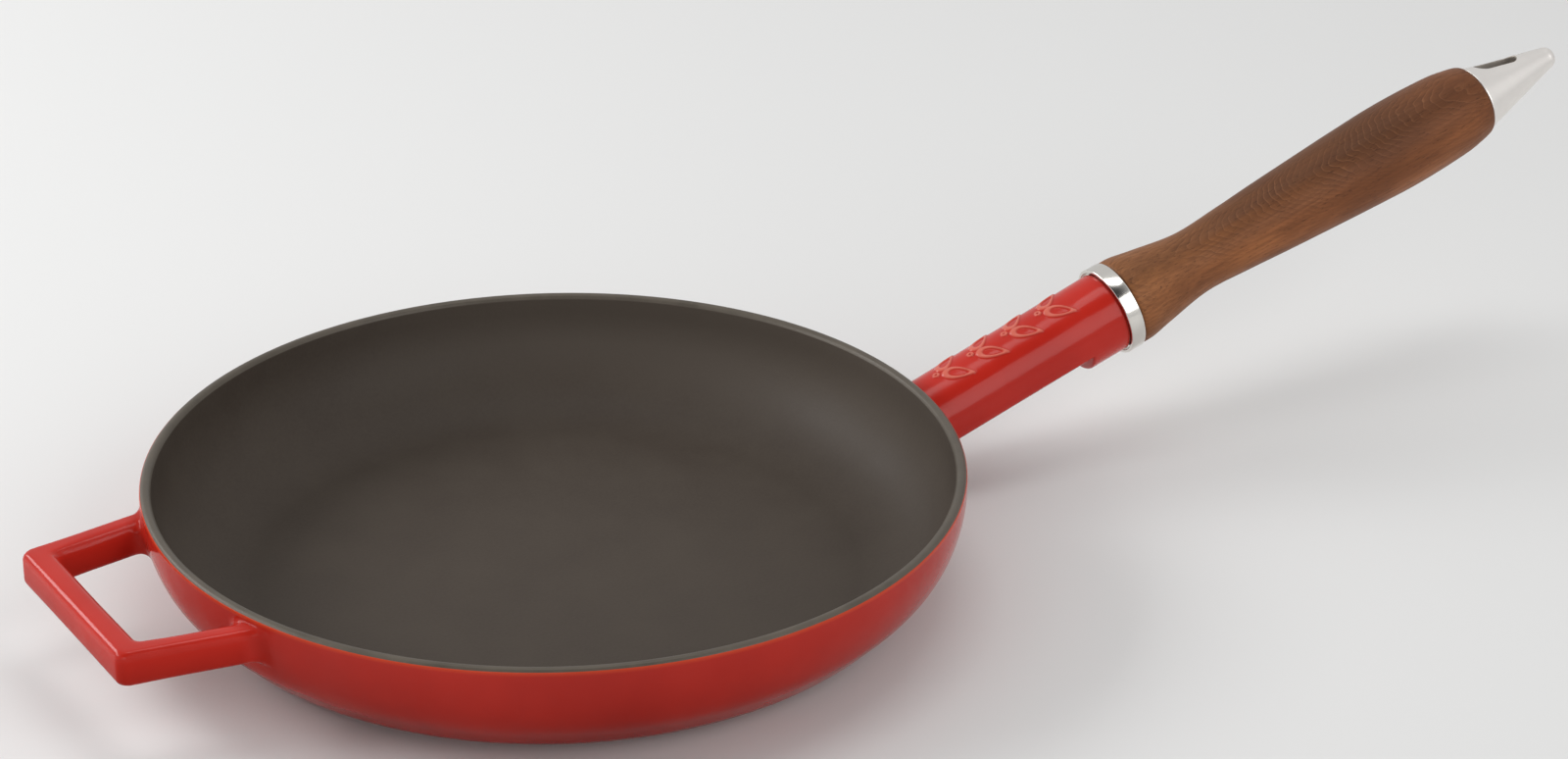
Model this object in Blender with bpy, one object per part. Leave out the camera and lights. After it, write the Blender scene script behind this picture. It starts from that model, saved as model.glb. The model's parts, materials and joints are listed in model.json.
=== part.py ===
"""Enamelled cast iron skillet with a turned wooden grip.

The pan, its helper loop and the handle stub are one iron casting. A threaded tie rod runs from a nut under
the stub, through the collar and the wooden grip, into the screwed end cap, and clamps them together.

Metres, +Z up. The origin is the centre of the flat base, on the surface that the pan stands on. +X points
along the main handle. Pieces on the handle are built along the local X axis of the empty "handle_axis",
where X = 0 is the point HANDLE_START of the handle's centre line.
"""

import math

import bmesh
import bpy
from mathutils import Vector

GAP = 0.0003  # clearance between touching pieces

# Pan
RIM_RADIUS = 0.1410
PAN_HEIGHT = 0.0442
RIM_ROUND = 0.0019  # radius of the rim's two edges
WALL = 0.0040
FLOOR = 0.0045
OUTER_CURVE = 0.0400  # outside, from wall to base
FLANK_PRESS = 0.0008  # how much flatter than a round arc the middle of that curve is
INNER_CURVE = 0.0335  # inside, from wall to floor
PAN_SEGMENTS = 96

# Helper loop, at -X
LOOP_OUTER_X = -0.1787
LOOP_INNER_X = -0.1684
LOOP_ARM_Y = 0.0412  # outer side of an arm at LOOP_OUTER_X
LOOP_ARM_WIDTH = 0.0090
LOOP_FLARE = math.radians(9.0)  # how far each arm leans outward towards the pan
LOOP_TOP = 0.0407
LOOP_BOTTOM = 0.0283
LOOP_EDGE = 0.0026  # rounding of the long edges
LOOP_OUTER_CORNER = 0.0033
LOOP_INNER_CORNER = 0.0035
LOOP_WALL_FILLET = 0.0068  # inside the finger gap, against the pan
LOOP_SIDE_FILLET = 0.0050  # outside the arms, against the pan
LOOP_ROOT_X = -0.1150  # inside the pan's wall, before the root is trimmed

# Handle centre line
HANDLE_START = Vector((0.1394, 0.0, 0.0227))
HANDLE_TILT = math.radians(16.6)

# Stub, cast with the pan
STUB_ROOT = -0.020
STUB_ROOT_RADIUS = 0.0144
STUB_DROP = 0.0019
STUB_END = 0.0910
STUB_END_RADIUS = 0.0151
STUB_END_ROUND = 0.0015
BOSS_START = 0.0740  # the stub is a channel, open below, up to here
CHANNEL_RADIUS = 0.0102
CHANNEL_EDGE_DROP = 0.0054  # lower edges of the channel's sides, below the centre line
HANDLE_SEGMENTS = 40

# Tie rod, M8, with its nut and washers
ROD_RADIUS = 0.0040
ROD_START = 0.0585
ROD_END = 0.2560
ROD_CHAMFER = 0.0008
BORE_RADIUS = ROD_RADIUS + GAP
NUT_WIDTH = 0.0130  # across flats
NUT_THICKNESS = 0.0065
WASHER_RADIUS = 0.0080
WASHER_THICKNESS = 0.0016
SPRING_RADIUS = 0.0066
SPRING_THICKNESS = 0.0018
SPRING_RISE = 0.0004  # axial step between the spring washer's two ends
SPRING_GAP = math.radians(18)
ROD_SEGMENTS = 32

# Dowel that stops the grip turning on the stub
DOWEL_RADIUS = 0.0015
DOWEL_OFFSET = 0.0090  # below the centre line
DOWEL_START = 0.0845
DOWEL_END = 0.1030
DOWEL_SEGMENTS = 16

# Collar between stub and grip
COLLAR_RADIUS = 0.0169
COLLAR_LIP = 0.0901  # the lip reaches back over the stub's rounded end
COLLAR_END = 0.0960
COLLAR_LIP_WALL = 0.0013
COLLAR_EDGE = 0.0004

# Wooden grip: distance along the handle and radius
GRIP_SHAPE = (
    (0.0978, 0.0165),
    (0.1020, 0.0163),
    (0.1110, 0.0147),
    (0.1290, 0.0121),
    (0.1480, 0.0129),
    (0.1680, 0.0142),
    (0.2040, 0.01615),
    (0.2250, 0.01685),
    (0.2460, 0.0162),
    (0.2550, 0.0150),
    (0.2590, 0.0141),
)
GRIP_START = COLLAR_END + GAP
GRIP_END = 0.2602
GRIP_START_RADIUS = 0.0155
GRIP_END_RADIUS = 0.0133
GRIP_BORE_RADIUS = ROD_RADIUS + 0.0006
GRIP_STEPS = 3  # rings between two points of the shape

# End cap. Its thread pulls up tight a little past the point where the slot stands upright.
CAP_TURN = math.radians(-13)
CAP_START = GRIP_END + GAP
CAP_ROOT_RADIUS = 0.0130
CAP_TAPER_END = 0.2950
CAP_TIP_RADIUS = 0.0043
CAP_END = 0.2987
CAP_SCOOP = 0.0007  # how far the top hollows below a straight taper
CAP_SCOOP_FADE = 3  # how quickly the hollow fades towards the tip
SHANK_START = 0.2400
SHANK_RADIUS = 0.0070
SHANK_BORE_END = 0.2575
SLOT_START = 0.2660
SLOT_END = 0.2830
SLOT_WIDTH = 0.0070
CAP_STATIONS = 9
CAP_TIP_STATIONS = 5

# Washer between grip and end cap
CAP_WASHER_RADIUS = 0.0104
CAP_WASHER_THICKNESS = 0.0014


def clear_scene():
    """Removes every object that the scene starts with."""
    for old in list(bpy.data.objects):
        bpy.data.objects.remove(old, do_unlink=True)


def material(name, color, roughness, metallic=0.0):
    """A Principled material in one colour."""
    made = bpy.data.materials.new(name)
    made.use_nodes = True
    made.diffuse_color = (*color, 1.0)
    shader = made.node_tree.nodes["Principled BSDF"]
    shader.inputs["Base Color"].default_value = (*color, 1.0)
    shader.inputs["Roughness"].default_value = roughness
    shader.inputs["Metallic"].default_value = metallic
    return made


def add_object(name, bm, finish, parent=None):
    """Turns a bmesh into a smooth-shaded object, on its parent."""
    bmesh.ops.recalc_face_normals(bm, faces=bm.faces)
    mesh = bpy.data.meshes.new(name)
    bm.to_mesh(mesh)
    bm.free()
    mesh.materials.append(finish)
    mesh.shade_smooth()
    mesh.set_sharp_from_angle(angle=math.radians(30))
    made = bpy.data.objects.new(name, mesh)
    bpy.context.scene.collection.objects.link(made)
    made.parent = parent
    return made


def hide(tool):
    """Marks an object as a cutter or a shape that another object takes in."""
    tool.hide_render = True
    tool.display_type = "WIRE"
    return tool


def combine(target, tool, operation):
    """Adds a Boolean modifier."""
    step = target.modifiers.new(tool.name, "BOOLEAN")
    step.operation = operation
    step.solver = "EXACT"
    step.object = tool


def arc(centre, radius, start, end, steps):
    """Points on a circle, between two angles in degrees."""
    angles = [math.radians(start + (end - start) * i / steps) for i in range(steps + 1)]
    return [(centre[0] + radius * math.cos(a), centre[1] + radius * math.sin(a)) for a in angles]


def smooth_curve(points, steps):
    """Points on a curve that runs smoothly through the given ones."""
    made = []
    last = len(points) - 1
    for i in range(last):
        before, start = Vector(points[max(i - 1, 0)]), Vector(points[i])
        end, after = Vector(points[i + 1]), Vector(points[min(i + 2, last)])
        leave, arrive = (end - before) / 2, (after - start) / 2
        for j in range(steps):
            t = j / steps
            spot = (2 * t**3 - 3 * t**2 + 1) * start + (t**3 - 2 * t**2 + t) * leave
            spot += (3 * t**2 - 2 * t**3) * end + (t**3 - t**2) * arrive
            made.append(tuple(spot))
    made.append(tuple(points[-1]))
    return made


def turned(name, outline, axis, segments, finish, parent=None, closed=True):
    """A body of revolution. The outline is (along the axis, radius); an open one ends on the axis."""
    along = Vector((1, 0, 0)) if axis == "X" else Vector((0, 0, 1))
    across = Vector((0, 0, 1)) if axis == "X" else Vector((1, 0, 0))
    bm = bmesh.new()
    verts = [bm.verts.new(along * u + across * r) for u, r in outline]
    edges = [bm.edges.new(pair) for pair in zip(verts, verts[1:])]
    if closed:
        edges.append(bm.edges.new((verts[-1], verts[0])))
    bmesh.ops.spin(
        bm, geom=verts + edges, cent=(0, 0, 0), axis=along, angle=math.tau, steps=segments, use_merge=True
    )
    bmesh.ops.remove_doubles(bm, verts=bm.verts, dist=1e-7)
    return add_object(name, bm, finish, parent)


def prism(name, corners, rise, finish, parent=None, edge_round=0.0):
    """A flat outline pushed along the vector rise, with its long edges rounded on request."""
    bm = bmesh.new()
    floor = bm.faces.new([bm.verts.new(c) for c in corners])
    lid = bmesh.ops.extrude_face_region(bm, geom=[floor])["geom"]
    bmesh.ops.translate(bm, vec=rise, verts=[g for g in lid if isinstance(g, bmesh.types.BMVert)])
    if edge_round:
        long_edges = [e for e in bm.edges if abs((e.verts[0].co - e.verts[1].co).dot(rise)) < 1e-9]
        bmesh.ops.bevel(
            bm, geom=long_edges, offset=edge_round, segments=3, profile=0.5, affect="EDGES", clamp_overlap=True
        )
    return add_object(name, bm, finish, parent)


def bar(name, start, end, radius, segments, finish, parent, offset=0.0, chamfer=0.0):
    """A round bar along the handle, at a height from the centre line, with chamfered ends."""
    first = [(start, radius - chamfer), (start + chamfer, radius)]
    last = [(end - chamfer, radius), (end, radius - chamfer)]
    if not chamfer:
        first, last = first[:1], last[1:]
    outline = [(start, 0)] + first + last + [(end, 0)]
    made = turned(name, outline, "X", segments, finish, parent, closed=False)
    made.location.z = offset
    return made


def ring(name, start, thickness, radius, bore, finish, parent):
    """A flat washer on the handle's centre line."""
    end = start + thickness
    outline = [(start, bore), (start, radius), (end, radius), (end, bore)]
    return turned(name, outline, "X", ROD_SEGMENTS, finish, parent)


def flank(centre, radius, steps=12):
    """The outside's curve from base to wall, pressed flatter at its middle, as (height, radius)."""
    points = []
    for i in range(steps + 1):
        angle = math.pi / 2 * i / steps
        reach = radius - FLANK_PRESS * math.sin(2 * angle) ** 14
        points.append((centre[0] - reach * math.cos(angle), centre[1] + reach * math.sin(angle)))
    return points


def wall_outline():
    """The bowl's section as (height, radius): out along the base, up the outside, over the rim, down."""
    outer_centre = (OUTER_CURVE, RIM_RADIUS - OUTER_CURVE)
    inner_radius = RIM_RADIUS - WALL
    inner_centre = (FLOOR + INNER_CURVE, inner_radius - INNER_CURVE)
    rim_height = PAN_HEIGHT - RIM_ROUND
    section = [(0, 0)]
    section += flank(outer_centre, OUTER_CURVE)
    section += arc((rim_height, RIM_RADIUS - RIM_ROUND), RIM_ROUND, 90, 0, 3)
    section += arc((rim_height, inner_radius + RIM_ROUND), RIM_ROUND, 0, -90, 3)
    section += arc(inner_centre, INNER_CURVE, 90, 180, 9)
    section.append((FLOOR, 0))
    return section


def add_wall_core():
    """A solid inside the bowl, out to the middle of its wall, which ends the roots of both handles."""
    middle = RIM_RADIUS - WALL / 2
    curve = OUTER_CURVE - WALL / 2
    section = [(WALL / 2, 0)]
    section += arc((OUTER_CURVE, middle - curve), curve, 180, 90, 9)
    section += [(2 * PAN_HEIGHT, middle), (2 * PAN_HEIGHT, 0)]
    return hide(turned("wall_core", section, "Z", PAN_SEGMENTS, IRON, closed=False))


def round_corner(before, corner, after, radius, steps=4):
    """An arc that rounds one corner of a flat outline."""
    corner, before, after = Vector(corner), Vector(before), Vector(after)
    to_before, to_after = (before - corner).normalized(), (after - corner).normalized()
    half = to_before.angle(to_after) / 2
    centre = corner + (to_before + to_after).normalized() * (radius / math.sin(half))
    first = corner + to_before * (radius / math.tan(half)) - centre
    second = corner + to_after * (radius / math.tan(half)) - centre
    swing = first.angle_signed(second)
    turn = [math.cos(swing * i / steps) for i in range(steps + 1)]
    rise = [math.sin(swing * i / steps) for i in range(steps + 1)]
    return [
        tuple(centre + Vector((first.x * c + first.y * s, first.y * c - first.x * s)))
        for c, s in zip(turn, rise)
    ]


def arm_side(inset):
    """A point on one side of the +Y arm and the direction along it, towards the pan."""
    along = Vector((math.cos(LOOP_FLARE), math.sin(LOOP_FLARE)))
    across = Vector((math.sin(LOOP_FLARE), -math.cos(LOOP_FLARE)))
    return Vector((LOOP_OUTER_X, LOOP_ARM_Y)) + across * inset, along


def wall_fillet(inset, side, radius, steps=4):
    """Points that carry one side of the +Y arm onto the pan's wall. side is 1 outside the arm, -1 inside."""
    point, along = arm_side(inset)
    across = Vector((-along.y, along.x)) * side
    start = point + across * radius
    reach = RIM_RADIUS + radius
    middle = -start.dot(along)
    centre = start + along * (middle - math.sqrt(middle**2 - start.length_squared + reach**2))
    first, second = -across, -centre.normalized()
    swing = first.angle_signed(second)
    made = []
    for i in range(steps + 1):
        c, s = math.cos(swing * i / steps), math.sin(swing * i / steps)
        made.append(centre + radius * Vector((first.x * c + first.y * s, first.y * c - first.x * s)))
    return [tuple(p) for p in made]


def on_arm(inset, x):
    """The point at x on one side of the +Y arm."""
    point, along = arm_side(inset)
    return tuple(point + along * ((x - point.x) / along.x))


def mirrored(points):
    """The same points on the -Y side, in the opposite order."""
    return [(x, -y) for x, y in reversed(points)]


def add_helper_loop():
    """The short loop handle opposite the main one, with its roots still inside the bowl."""
    outer_corner = on_arm(0, LOOP_OUTER_X)
    inner_corner = on_arm(LOOP_ARM_WIDTH, LOOP_INNER_X)
    outer_root = (LOOP_ROOT_X, wall_fillet(0, 1, LOOP_SIDE_FILLET)[-1][1])
    inner_root = (LOOP_ROOT_X, wall_fillet(LOOP_ARM_WIDTH, -1, LOOP_WALL_FILLET)[-1][1])
    outer = round_corner((LOOP_OUTER_X, 0), outer_corner, on_arm(0, LOOP_ROOT_X), LOOP_OUTER_CORNER)
    outer += wall_fillet(0, 1, LOOP_SIDE_FILLET) + [outer_root]
    inner = [inner_root] + wall_fillet(LOOP_ARM_WIDTH, -1, LOOP_WALL_FILLET)[::-1]
    inner += round_corner(
        on_arm(LOOP_ARM_WIDTH, LOOP_ROOT_X), inner_corner, (LOOP_INNER_X, 0), LOOP_INNER_CORNER
    )
    half = outer + inner
    corners = [(x, y, LOOP_BOTTOM) for x, y in half + mirrored(half)]
    rise = Vector((0, 0, LOOP_TOP - LOOP_BOTTOM))
    return hide(prism("helper_loop", corners, rise, ENAMEL, edge_round=LOOP_EDGE))


def channel_section():
    """The open channel's section, as (side, up) from the centre line."""
    side, low = 2 * STUB_END_RADIUS, -2 * STUB_END_RADIUS
    section = [(-side, low), (side, low), (side, -CHANNEL_EDGE_DROP), (CHANNEL_RADIUS, -CHANNEL_EDGE_DROP)]
    section += arc((0, 0), CHANNEL_RADIUS, 0, 180, 16)
    section += [(-CHANNEL_RADIUS, -CHANNEL_EDGE_DROP), (-side, -CHANNEL_EDGE_DROP)]
    return section


def droop(limb):
    """Lowers the root of the stub or of its channel, without turning its end face."""
    for vert in limb.data.vertices:
        vert.co.z -= STUB_DROP * (1 - vert.co.x / STUB_END)
    return limb


def add_stub(handle):
    """The cast stub: a channel open below, then a drilled boss."""
    end_centre = (STUB_END - STUB_END_ROUND, STUB_END_RADIUS - STUB_END_ROUND)
    outline = [(STUB_ROOT, 0), (STUB_ROOT, STUB_ROOT_RADIUS), (0, STUB_ROOT_RADIUS)]
    outline += arc(end_centre, STUB_END_ROUND, 90, 0, 3) + [(STUB_END, 0)]
    stub = hide(turned("stub", outline, "X", HANDLE_SEGMENTS, ENAMEL, handle, closed=False))
    corners = [(2 * STUB_ROOT, y, z) for y, z in channel_section()]
    length = Vector((BOSS_START - 2 * STUB_ROOT, 0, 0))
    channel = hide(prism("channel", corners, length, IRON, handle))
    droop(stub)
    droop(channel)
    bore = hide(bar("boss_bore", BOSS_START - 0.01, STUB_END + 0.01, BORE_RADIUS, ROD_SEGMENTS, IRON, handle))
    for cutter in (channel, bore, dowel_hole("boss_dowel_hole", handle)):
        combine(stub, cutter, "DIFFERENCE")
    return stub


def dowel_hole(name, handle):
    """A cutter that leaves clearance round the dowel."""
    start, end = DOWEL_START - GAP, DOWEL_END + GAP
    radius = DOWEL_RADIUS + GAP
    return hide(bar(name, start, end, radius, DOWEL_SEGMENTS, IRON, handle, offset=-DOWEL_OFFSET))


def add_pan(handle):
    """The casting: bowl, helper loop and stub."""
    pan = turned("pan_casting", wall_outline(), "Z", PAN_SEGMENTS, ENAMEL, closed=False)
    core = add_wall_core()
    for limb in (add_helper_loop(), add_stub(handle)):
        combine(limb, core, "DIFFERENCE")
        combine(pan, limb, "UNION")


def add_collar(handle):
    """A polished ring with a lip over the stub's end and a web that the rod passes through."""
    web = STUB_END + GAP
    lip_bore = COLLAR_RADIUS - COLLAR_LIP_WALL
    outline = [
        (web, BORE_RADIUS),
        (web, lip_bore),
        (COLLAR_LIP, lip_bore),
        (COLLAR_LIP, COLLAR_RADIUS - COLLAR_EDGE),
        (COLLAR_LIP + COLLAR_EDGE, COLLAR_RADIUS),
        (COLLAR_END - COLLAR_EDGE, COLLAR_RADIUS),
        (COLLAR_END, COLLAR_RADIUS - COLLAR_EDGE),
        (COLLAR_END, BORE_RADIUS),
    ]
    collar = turned("grip_collar", outline, "X", HANDLE_SEGMENTS, BRIGHT_STEEL, handle)
    combine(collar, dowel_hole("collar_dowel_hole", handle), "DIFFERENCE")


def add_grip(handle):
    """The turned grip, bored for the rod and counterbored for the cap's shank and washer."""
    shank_bore = SHANK_RADIUS + GAP
    seat = GRIP_END - CAP_WASHER_THICKNESS - GAP
    seat_radius = CAP_WASHER_RADIUS + GAP
    outline = [(GRIP_START, GRIP_BORE_RADIUS), (GRIP_START, GRIP_START_RADIUS)]
    outline += smooth_curve(GRIP_SHAPE, GRIP_STEPS)
    outline += [(GRIP_END, GRIP_END_RADIUS), (GRIP_END, seat_radius), (seat, seat_radius)]
    outline += [(seat, shank_bore), (SHANK_START - GAP, shank_bore), (SHANK_START - GAP, GRIP_BORE_RADIUS)]
    grip = turned("wood_grip", outline, "X", HANDLE_SEGMENTS, WOOD, handle)
    combine(grip, dowel_hole("grip_dowel_hole", handle), "DIFFERENCE")


def stadium(start, end, width, steps=8):
    """A slot's outline, as (along, side)."""
    r = width / 2
    return arc((end - r, 0), r, -90, 90, steps) + arc((start + r, 0), r, 90, 270, steps)


def cap_section(along, radius):
    """One section of the cap: a circle whose upper half is flattened by the scoop."""
    share = (along - CAP_START) / (CAP_END - CAP_START)
    deepest = 1 / (CAP_SCOOP_FADE + 1)
    hollow = share * (1 - share) ** CAP_SCOOP_FADE / (deepest * (1 - deepest) ** CAP_SCOOP_FADE)
    upper = 1 - CAP_SCOOP * hollow / radius
    angles = [math.tau * i / HANDLE_SEGMENTS for i in range(HANDLE_SEGMENTS)]
    heights = [math.sin(a) * (upper if math.sin(a) > 0 else 1) for a in angles]
    return [(along, radius * math.cos(a), radius * h) for a, h in zip(angles, heights)]


def add_end_cap(handle):
    """The tapered cap: threaded shank, scooped top and hanging slot."""
    tip_length = CAP_END - CAP_TAPER_END
    stations = []
    for i in range(CAP_STATIONS):
        share = i / CAP_STATIONS
        along = CAP_START + (CAP_TAPER_END - CAP_START) * share
        stations.append((along, CAP_ROOT_RADIUS + (CAP_TIP_RADIUS - CAP_ROOT_RADIUS) * share))
    for i in range(CAP_TIP_STATIONS):
        angle = math.pi / 2 * i / CAP_TIP_STATIONS
        stations.append((CAP_TAPER_END + tip_length * math.sin(angle), CAP_TIP_RADIUS * math.cos(angle)))
    bm = bmesh.new()
    rings = [[bm.verts.new(p) for p in cap_section(*station)] for station in stations]
    for one, two in zip(rings, rings[1:]):
        for i in range(HANDLE_SEGMENTS):
            j = (i + 1) % HANDLE_SEGMENTS
            bm.faces.new((one[i], one[j], two[j], two[i]))
    tip = bm.verts.new((CAP_END, 0, 0))
    for i in range(HANDLE_SEGMENTS):
        bm.faces.new((rings[-1][i], rings[-1][(i + 1) % HANDLE_SEGMENTS], tip))
    bm.faces.new(rings[0])
    cap = add_object("end_cap", bm, SATIN_STEEL, handle)
    cap.rotation_euler.x = CAP_TURN
    shank = hide(bar("cap_shank", SHANK_START, CAP_START + 0.002, SHANK_RADIUS, ROD_SEGMENTS, IRON, handle))
    bore = hide(bar("cap_bore", SHANK_START - 0.01, SHANK_BORE_END, BORE_RADIUS, ROD_SEGMENTS, IRON, handle))
    depth = 2 * CAP_ROOT_RADIUS
    corners = [(u, v, -depth) for u, v in stadium(SLOT_START, SLOT_END, SLOT_WIDTH)]
    slot = hide(prism("slot_cutter", corners, Vector((0, 0, 2 * depth)), IRON, cap))
    combine(cap, shank, "UNION")
    for cutter in (bore, slot):
        combine(cap, cutter, "DIFFERENCE")


def add_nut(start, handle):
    """A hexagon nut, with its corners up and down."""
    corner = NUT_WIDTH / math.sqrt(3)
    angles = [math.radians(60 * i) for i in range(6)]
    corners = [(start, corner * math.sin(a), corner * math.cos(a)) for a in angles]
    nut = prism("rod_nut", corners, Vector((NUT_THICKNESS, 0, 0)), ZINC, handle)
    end = start + NUT_THICKNESS
    bore = bar("nut_bore", start - 0.01, end + 0.01, BORE_RADIUS, ROD_SEGMENTS, IRON, handle)
    combine(nut, hide(bore), "DIFFERENCE")


def add_spring_washer(start, handle, steps=28):
    """A split ring whose ends stand a little apart along the rod."""
    bm = bmesh.new()
    sections = []
    for i in range(steps + 1):
        angle = SPRING_GAP / 2 + (math.tau - SPRING_GAP) * i / steps
        low = start + SPRING_RISE * i / steps
        high = low + SPRING_THICKNESS - SPRING_RISE
        section = [(low, BORE_RADIUS), (low, SPRING_RADIUS), (high, SPRING_RADIUS), (high, BORE_RADIUS)]
        sections.append([bm.verts.new((u, r * math.sin(angle), r * math.cos(angle))) for u, r in section])
    for one, two in zip(sections, sections[1:]):
        for i in range(4):
            bm.faces.new((one[i], one[(i + 1) % 4], two[(i + 1) % 4], two[i]))
    bm.faces.new(sections[0])
    bm.faces.new(sections[-1])
    add_object("spring_washer", bm, ZINC, handle)


def add_fasteners(handle):
    """The tie rod with its nut and washers, the dowel and the washer under the cap."""
    washer_start = BOSS_START - GAP - WASHER_THICKNESS
    spring_start = washer_start - GAP - SPRING_THICKNESS
    bar("tie_rod", ROD_START, ROD_END, ROD_RADIUS, ROD_SEGMENTS, ZINC, handle, chamfer=ROD_CHAMFER)
    ring("flat_washer", washer_start, WASHER_THICKNESS, WASHER_RADIUS, BORE_RADIUS, ZINC, handle)
    add_spring_washer(spring_start, handle)
    add_nut(spring_start - GAP - NUT_THICKNESS, handle)
    bar("grip_dowel", DOWEL_START, DOWEL_END, DOWEL_RADIUS, DOWEL_SEGMENTS, ZINC, handle, -DOWEL_OFFSET)
    start = GRIP_END - CAP_WASHER_THICKNESS
    ring("cap_washer", start, CAP_WASHER_THICKNESS, CAP_WASHER_RADIUS, SHANK_RADIUS + GAP, ZINC, handle)


def add_handle_axis():
    """The empty that carries every piece of the handle, and the axis that the end cap screws along."""
    handle = bpy.data.objects.new("handle_axis", None)
    bpy.context.scene.collection.objects.link(handle)
    handle.location = HANDLE_START
    handle.rotation_euler = (0, -HANDLE_TILT, 0)
    return handle


clear_scene()
ENAMEL = material("red_enamel", (0.52, 0.035, 0.022), 0.12)
IRON = material("iron", (0.06, 0.05, 0.045), 0.6)
BRIGHT_STEEL = material("bright_steel", (0.80, 0.78, 0.75), 0.12, 1.0)
SATIN_STEEL = material("satin_steel", (0.72, 0.69, 0.66), 0.32, 1.0)
ZINC = material("zinc_plated_steel", (0.62, 0.62, 0.60), 0.35, 1.0)
WOOD = material("oiled_wood", (0.20, 0.085, 0.045), 0.5)

handle_axis = add_handle_axis()
add_pan(handle_axis)
add_collar(handle_axis)
add_grip(handle_axis)
add_end_cap(handle_axis)
add_fasteners(handle_axis)
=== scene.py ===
"""The looks of an enamelled cast iron skillet with a turned wooden grip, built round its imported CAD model.

Metres, +Z up, in the model's own frame: the origin is the centre of the pan's base, and +X points along the
main handle. Pieces of the handle are built in handle coordinates, which are (along the handle's centre line,
to its left, up from it), and HANDLE carries them into the frame.
"""

import json
import math

import bmesh
import bpy
import numpy as np
from mathutils import Matrix, Vector


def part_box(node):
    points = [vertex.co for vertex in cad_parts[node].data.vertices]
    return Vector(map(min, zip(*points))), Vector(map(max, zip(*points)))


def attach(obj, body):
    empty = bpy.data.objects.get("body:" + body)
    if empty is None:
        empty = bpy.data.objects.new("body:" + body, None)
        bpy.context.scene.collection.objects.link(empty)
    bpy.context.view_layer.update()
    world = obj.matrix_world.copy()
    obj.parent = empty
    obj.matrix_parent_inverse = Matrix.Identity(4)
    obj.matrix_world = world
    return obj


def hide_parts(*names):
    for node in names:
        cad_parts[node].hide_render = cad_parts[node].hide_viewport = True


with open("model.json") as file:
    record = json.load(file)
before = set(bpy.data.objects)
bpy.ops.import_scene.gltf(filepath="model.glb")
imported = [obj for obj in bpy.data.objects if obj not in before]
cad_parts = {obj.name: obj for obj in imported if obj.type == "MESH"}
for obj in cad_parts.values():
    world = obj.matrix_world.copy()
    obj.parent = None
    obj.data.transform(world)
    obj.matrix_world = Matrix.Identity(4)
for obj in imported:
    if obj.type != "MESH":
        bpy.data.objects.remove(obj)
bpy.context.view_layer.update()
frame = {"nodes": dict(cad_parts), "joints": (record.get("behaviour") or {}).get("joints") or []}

# The pan, as the CAD model has it
pan_low, pan_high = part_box("pan_casting")
RIM_RADIUS = pan_high.y
PAN_HEIGHT = 0.0442
RIM_ROUND = 0.0019
WALL = 0.0040
FLOOR = 0.0045
OUTER_CURVE = 0.0400
CURVE_STEPS = 44
FLANK_PRESS, FLANK_POWER = 0.0008, 14  # the outer curve is pressed in a little half way up, in a narrow band
INNER_CURVE = 0.0335
RIM_HEIGHT = PAN_HEIGHT - RIM_ROUND  # where the wall starts to round over into the rim
INNER_RADIUS = RIM_RADIUS - WALL

# Detail that only the visible pan has
PAN_SEGMENTS = 240
FOOT_INNER = 0.0880  # the underside is a flat ring that stands, round a shallow recess
FOOT_STEP = 0.0022
RECESS = 0.0004
COAT_STEP = 0.00012  # the enamel stands this much proud of the bare rim
COAT_EDGE = 24  # degrees up the rim's outer rounding where the red enamel stops
INSIDE_COAT_EDGE = 74  # degrees down the rim's inner rounding where the black enamel starts
ROOT_DEPTH = 0.00012  # how far a fillet's edge dips under the wall
FILLET_STEPS = 8

# Helper loop
LOOP_OUTER_X = pan_low.x
LOOP_INNER_X = -0.1684
LOOP_ARM_Y = 0.0412
LOOP_ARM_WIDTH = 0.0090
LOOP_FLARE = math.radians(9.0)
LOOP_TOP = 0.0407
LOOP_BOTTOM = 0.0283
LOOP_EDGE = 0.0027
LOOP_INNER_TOP_EDGE = 0.0038
LOOP_CROWN = 0.0002
LOOP_CORNER = 0.0036
LOOP_ROOT_X = -0.1150
LOOP_ARM_REACH = 0.0225  # from the outer corner to the last whole section
# fillets at the loop's roots: how far they reach along the arm, and along the wall
LOOP_FILLETS = {
    "away": (0.0050, 0.0050),
    "gap": (0.0068, 0.0068),
    "top": (0.0026, 0.0016),
    "bottom": (0.0045, 0.0045),
}

# Handle stub
STUB_ROOT_RADIUS = 0.0144
STUB_DROP = 0.0019
STUB_END = 0.0910
STUB_END_RADIUS = 0.0151
STUB_END_ROUND = 0.0015
BOSS_START = 0.0740
CHANNEL_RADIUS = 0.0102
CHANNEL_EDGE_DROP = 0.0054
CHANNEL_EDGE_ROUND = 0.0016
STUB_FILLET = (0.0030, 0.0030)
STUB_ROOT_X = 0.1000
BORE_RADIUS = 0.0043

# The raised ornament on top of the stub: pairs of leaf outlines with a bead before each pair
RELIEF_START, RELIEF_END = 0.0160, 0.0760
RELIEF_HALF_WIDTH = 0.0095
RELIEF_HEIGHT = 0.00052
LINE_TOP, LINE_FLANK = 0.00022, 0.00048  # half the width of a line's flat top, and the width of its flank
LEAF_PAIRS, LEAF_FIRST, LEAF_PITCH = 4, 0.0255, 0.0150
LEAF_LENGTH, LEAF_WIDTH = 0.0098, 0.0040
LEAF_SIDE, LEAF_LEAN = 0.0045, 0.62  # the lean is in radians
BEAD_LEAD, BEAD_RADIUS = 0.0068, 0.0009

# Where the enamel's look changes
ROOT_BLEND = 0.0060  # the wall's look gives way to the handles' over this distance
SHADE_TOP, SHADE_FOOT = 0.0420, 0.0120  # painted shade darkens the enamel between these heights
LOOP_SIDE_TOP = LOOP_TOP - 0.0015

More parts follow.
